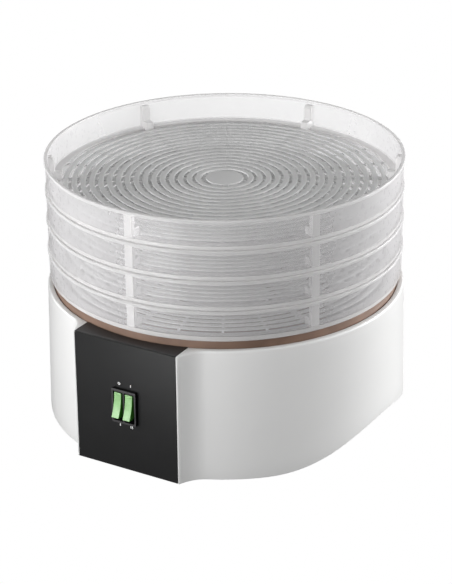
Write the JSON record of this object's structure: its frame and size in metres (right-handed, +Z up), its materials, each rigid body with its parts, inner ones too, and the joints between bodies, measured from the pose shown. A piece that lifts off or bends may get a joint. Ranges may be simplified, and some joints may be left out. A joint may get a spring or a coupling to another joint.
{
  "type": "food dehydrator",
  "caption": "Round countertop food dehydrator: white fan and heater base with a flat black switch panel, carrying stacked translucent lift-off trays with slotted floors.",
  "frame": {"origin": "on the surface that it stands on, on the axis of the trays", "axes": "+Z up the stack, -Y out of the switch panel, +X to the right of someone facing the panel"},
  "size_m": [0.331, 0.3602, 0.2452],
  "materials": {
    "housing_white": "satin gloss moulded white",
    "panel_black": "satin black",
    "cover_grey": "fine texture",
    "foot_rubber": "matt",
    "deck_brown": "heat-proof, warm dark brown",
    "zinc_plate": "zinc plated",
    "switch_black": "satin black",
    "tab_brass": "plain",
    "steel": "laminated and turned",
    "copper_winding": "enamelled",
    "bronze": "sintered",
    "heater_sheath": "heat-darkened",
    "cream_plastic": "plain",
    "lead_insulation": "silicone",
    "impeller_alu": "pressed sheet",
    "rocker_green": "translucent green",
    "tray_frosted": "translucent frosted"
  },
  "bodies": {
    "base": {"housing": "housing_white", "control_panel": "panel_black", "bottom_cover": "cover_grey", "foot_1": "foot_rubber", "foot_2": "foot_rubber", "foot_3": "foot_rubber", "foot_4": "foot_rubber", "air_deck": "deck_brown", "drip_cap": "deck_brown", "cap_screw": "zinc_plate", "cover_screw_1": "zinc_plate", "cover_screw_2": "zinc_plate", "cover_screw_3": "zinc_plate", "cover_screw_4": "zinc_plate", "motor_screw_1": "zinc_plate", "motor_screw_2": "zinc_plate", "switch_body": "switch_black", "switch_tab_1": "tab_brass", "switch_tab_2": "tab_brass", "switch_tab_3": "tab_brass", "switch_tab_4": "tab_brass", "motor_core": "steel", "motor_coil": "copper_winding", "motor_bracket_lower": "zinc_plate", "motor_bracket_upper": "zinc_plate", "motor_bearing_lower": "bronze", "motor_bearing_upper": "bronze", "air_duct": "zinc_plate", "heater_element": "heater_sheath", "heater_clip_1": "zinc_plate", "heater_clip_2": "zinc_plate", "heater_clip_3": "zinc_plate", "thermal_cutout": "steel", "terminal_block": "cream_plastic", "cord_gland": "foot_rubber", "lead_live": "lead_insulation", "lead_heater": "lead_insulation", "lead_neutral": "lead_insulation", "lead_motor": "lead_insulation", "lead_motor_return": "lead_insulation"},
    "fan": {"fan_shaft": "steel", "motor_rotor": "steel", "fan_impeller": "impeller_alu", "impeller_nut": "zinc_plate"},
    "left_rocker": {"rocker_left": "rocker_green"},
    "right_rocker": {"rocker_right": "rocker_green"},
    "tray_1_body": {"tray_1": "tray_frosted"},
    "tray_2_body": {"tray_2": "tray_frosted"},
    "tray_3_body": {"tray_3": "tray_frosted"},
    "tray_4_body": {"tray_4": "tray_frosted"}
  },
  "joints": [
    {"name": "fan_spin", "type": "hinge", "parent": "base", "child": "fan", "pos_m": [0, 0, 0.075], "axis": [0, 0, 1], "continuous": true},
    {"name": "left_rocker_press", "type": "hinge", "parent": "base", "child": "left_rocker", "pos_m": [-0.0057, -0.1681, 0.065], "axis": [1, 0, 0], "range_deg": [0, 24]},
    {"name": "right_rocker_press", "type": "hinge", "parent": "base", "child": "right_rocker", "pos_m": [0.0057, -0.1681, 0.065], "axis": [1, 0, 0], "range_deg": [0, 24]},
    {"name": "tray_1_lift", "type": "slide", "parent": "base", "child": "tray_1_body", "axis": [0, 0, 1], "range_m": [0, 0.06]},
    {"name": "tray_2_lift", "type": "slide", "parent": "tray_1_body", "child": "tray_2_body", "axis": [0, 0, 1], "range_m": [0, 0.06]},
    {"name": "tray_3_lift", "type": "slide", "parent": "tray_2_body", "child": "tray_3_body", "axis": [0, 0, 1], "range_m": [0, 0.06]},
    {"name": "tray_4_lift", "type": "slide", "parent": "tray_3_body", "child": "tray_4_body", "axis": [0, 0, 1], "range_m": [0, 0.06]}
  ]
}
